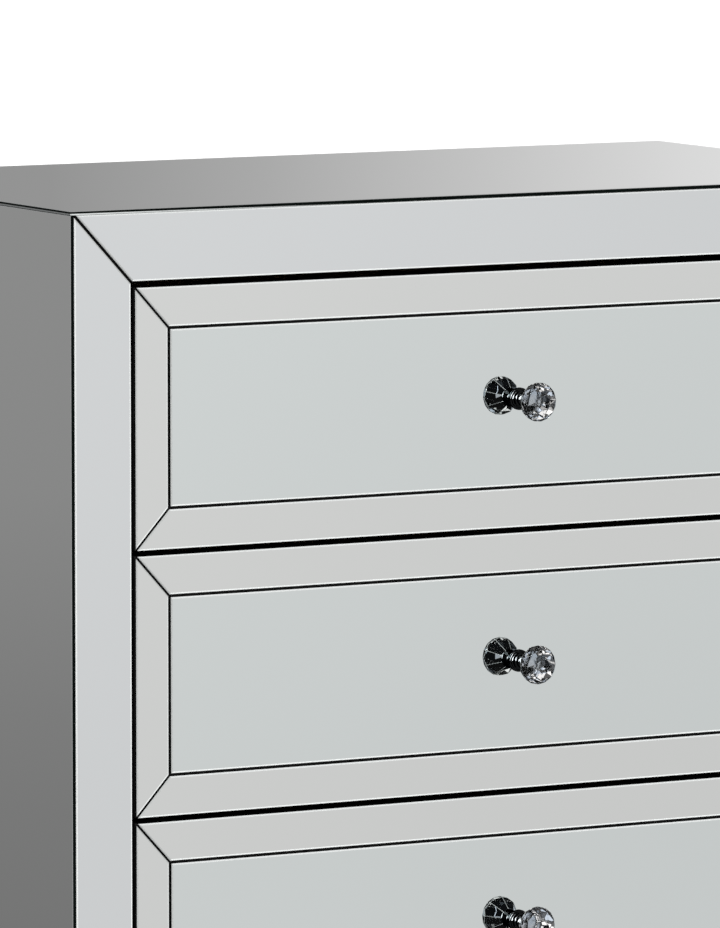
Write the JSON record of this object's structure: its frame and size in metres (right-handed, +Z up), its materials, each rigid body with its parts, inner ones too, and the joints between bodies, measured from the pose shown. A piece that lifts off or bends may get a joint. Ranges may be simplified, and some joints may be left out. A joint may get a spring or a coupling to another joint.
{
  "type": "mirrored chest of drawers",
  "caption": "Chest of full-width drawers faced all round with mirror glass in mitred borders, black joints, a crystal knob on each drawer and telescopic slides.",
  "frame": {"origin": "bottom centre of the bounding box, on the floor", "axes": "+Z up, drawers pull out towards -Y, +X to the right as seen from the front"},
  "size_m": [0.8, 0.4974, 0.78],
  "materials": {
    "mirror_glass": "polished, ground edges",
    "black_board": "satin black lacquer on fibreboard",
    "back_hardboard": "matt black hardboard",
    "drawer_wood": "clear-lacquered",
    "zinc_steel": "zinc plated",
    "chrome": "polished dark chrome",
    "crystal": "clear, faceted and polished"
  },
  "bodies": {
    "carcass": {"left_side_board": "black_board", "right_side_board": "black_board", "left_lining_board": "black_board", "right_lining_board": "black_board", "top_board": "black_board", "base_board": "black_board", "front_frame": "black_board", "back_panel": "back_hardboard", "top_mirror": "mirror_glass", "left_side_mirror": "mirror_glass", "right_side_mirror": "mirror_glass", "frame_mirror_top": "mirror_glass", "frame_mirror_bottom": "mirror_glass", "frame_mirror_left": "mirror_glass", "frame_mirror_right": "mirror_glass", "left_slide_channel_1": "zinc_steel", "right_slide_channel_1": "zinc_steel", "left_slide_channel_2": "zinc_steel", "right_slide_channel_2": "zinc_steel", "left_slide_channel_3": "zinc_steel", "right_slide_channel_3": "zinc_steel"},
    "drawer_1": {"drawer_1_front_board": "black_board", "drawer_1_left_side": "drawer_wood", "drawer_1_right_side": "drawer_wood", "drawer_1_back": "drawer_wood", "drawer_1_bottom": "drawer_wood", "drawer_1_centre_mirror": "mirror_glass", "drawer_1_border_mirror": "mirror_glass", "drawer_1_left_slide_runner": "zinc_steel", "drawer_1_right_slide_runner": "zinc_steel", "drawer_1_knob_base": "chrome", "drawer_1_knob_crystal": "crystal"},
    "slide_middles_1": {"drawer_1_left_slide_middle": "zinc_steel", "drawer_1_right_slide_middle": "zinc_steel"},
    "drawer_2": {"drawer_2_front_board": "black_board", "drawer_2_left_side": "drawer_wood", "drawer_2_right_side": "drawer_wood", "drawer_2_back": "drawer_wood", "drawer_2_bottom": "drawer_wood", "drawer_2_centre_mirror": "mirror_glass", "drawer_2_border_mirror": "mirror_glass", "drawer_2_left_slide_runner": "zinc_steel", "drawer_2_right_slide_runner": "zinc_steel", "drawer_2_knob_base": "chrome", "drawer_2_knob_crystal": "crystal"},
    "slide_middles_2": {"drawer_2_left_slide_middle": "zinc_steel", "drawer_2_right_slide_middle": "zinc_steel"},
    "drawer_3": {"drawer_3_front_board": "black_board", "drawer_3_left_side": "drawer_wood", "drawer_3_right_side": "drawer_wood", "drawer_3_back": "drawer_wood", "drawer_3_bottom": "drawer_wood", "drawer_3_centre_mirror": "mirror_glass", "drawer_3_border_mirror": "mirror_glass", "drawer_3_left_slide_runner": "zinc_steel", "drawer_3_right_slide_runner": "zinc_steel", "drawer_3_knob_base": "chrome", "drawer_3_knob_crystal": "crystal"},
    "slide_middles_3": {"drawer_3_left_slide_middle": "zinc_steel", "drawer_3_right_slide_middle": "zinc_steel"}
  },
  "joints": [
    {"name": "drawer_1_slide", "type": "slide", "parent": "carcass", "child": "drawer_1", "axis": [0, -1, 0], "range_m": [0, 0.4]},
    {"name": "drawer_2_slide", "type": "slide", "parent": "carcass", "child": "drawer_2", "axis": [0, -1, 0], "range_m": [0, 0.4]},
    {"name": "drawer_3_slide", "type": "slide", "parent": "carcass", "child": "drawer_3", "axis": [0, -1, 0], "range_m": [0, 0.4]},
    {"name": "middles_1_slide", "type": "slide", "parent": "carcass", "child": "slide_middles_1", "axis": [0, -1, 0], "range_m": [0, 0.2]},
    {"name": "middles_2_slide", "type": "slide", "parent": "carcass", "child": "slide_middles_2", "axis": [0, -1, 0], "range_m": [0, 0.2]},
    {"name": "middles_3_slide", "type": "slide", "parent": "carcass", "child": "slide_middles_3", "axis": [0, -1, 0], "range_m": [0, 0.2]}
  ],
  "couplings": [
    {"joint": "middles_1_slide", "follows": "drawer_1_slide", "ratio": 0.5},
    {"joint": "middles_2_slide", "follows": "drawer_2_slide", "ratio": 0.5},
    {"joint": "middles_3_slide", "follows": "drawer_3_slide", "ratio": 0.5}
  ]
}
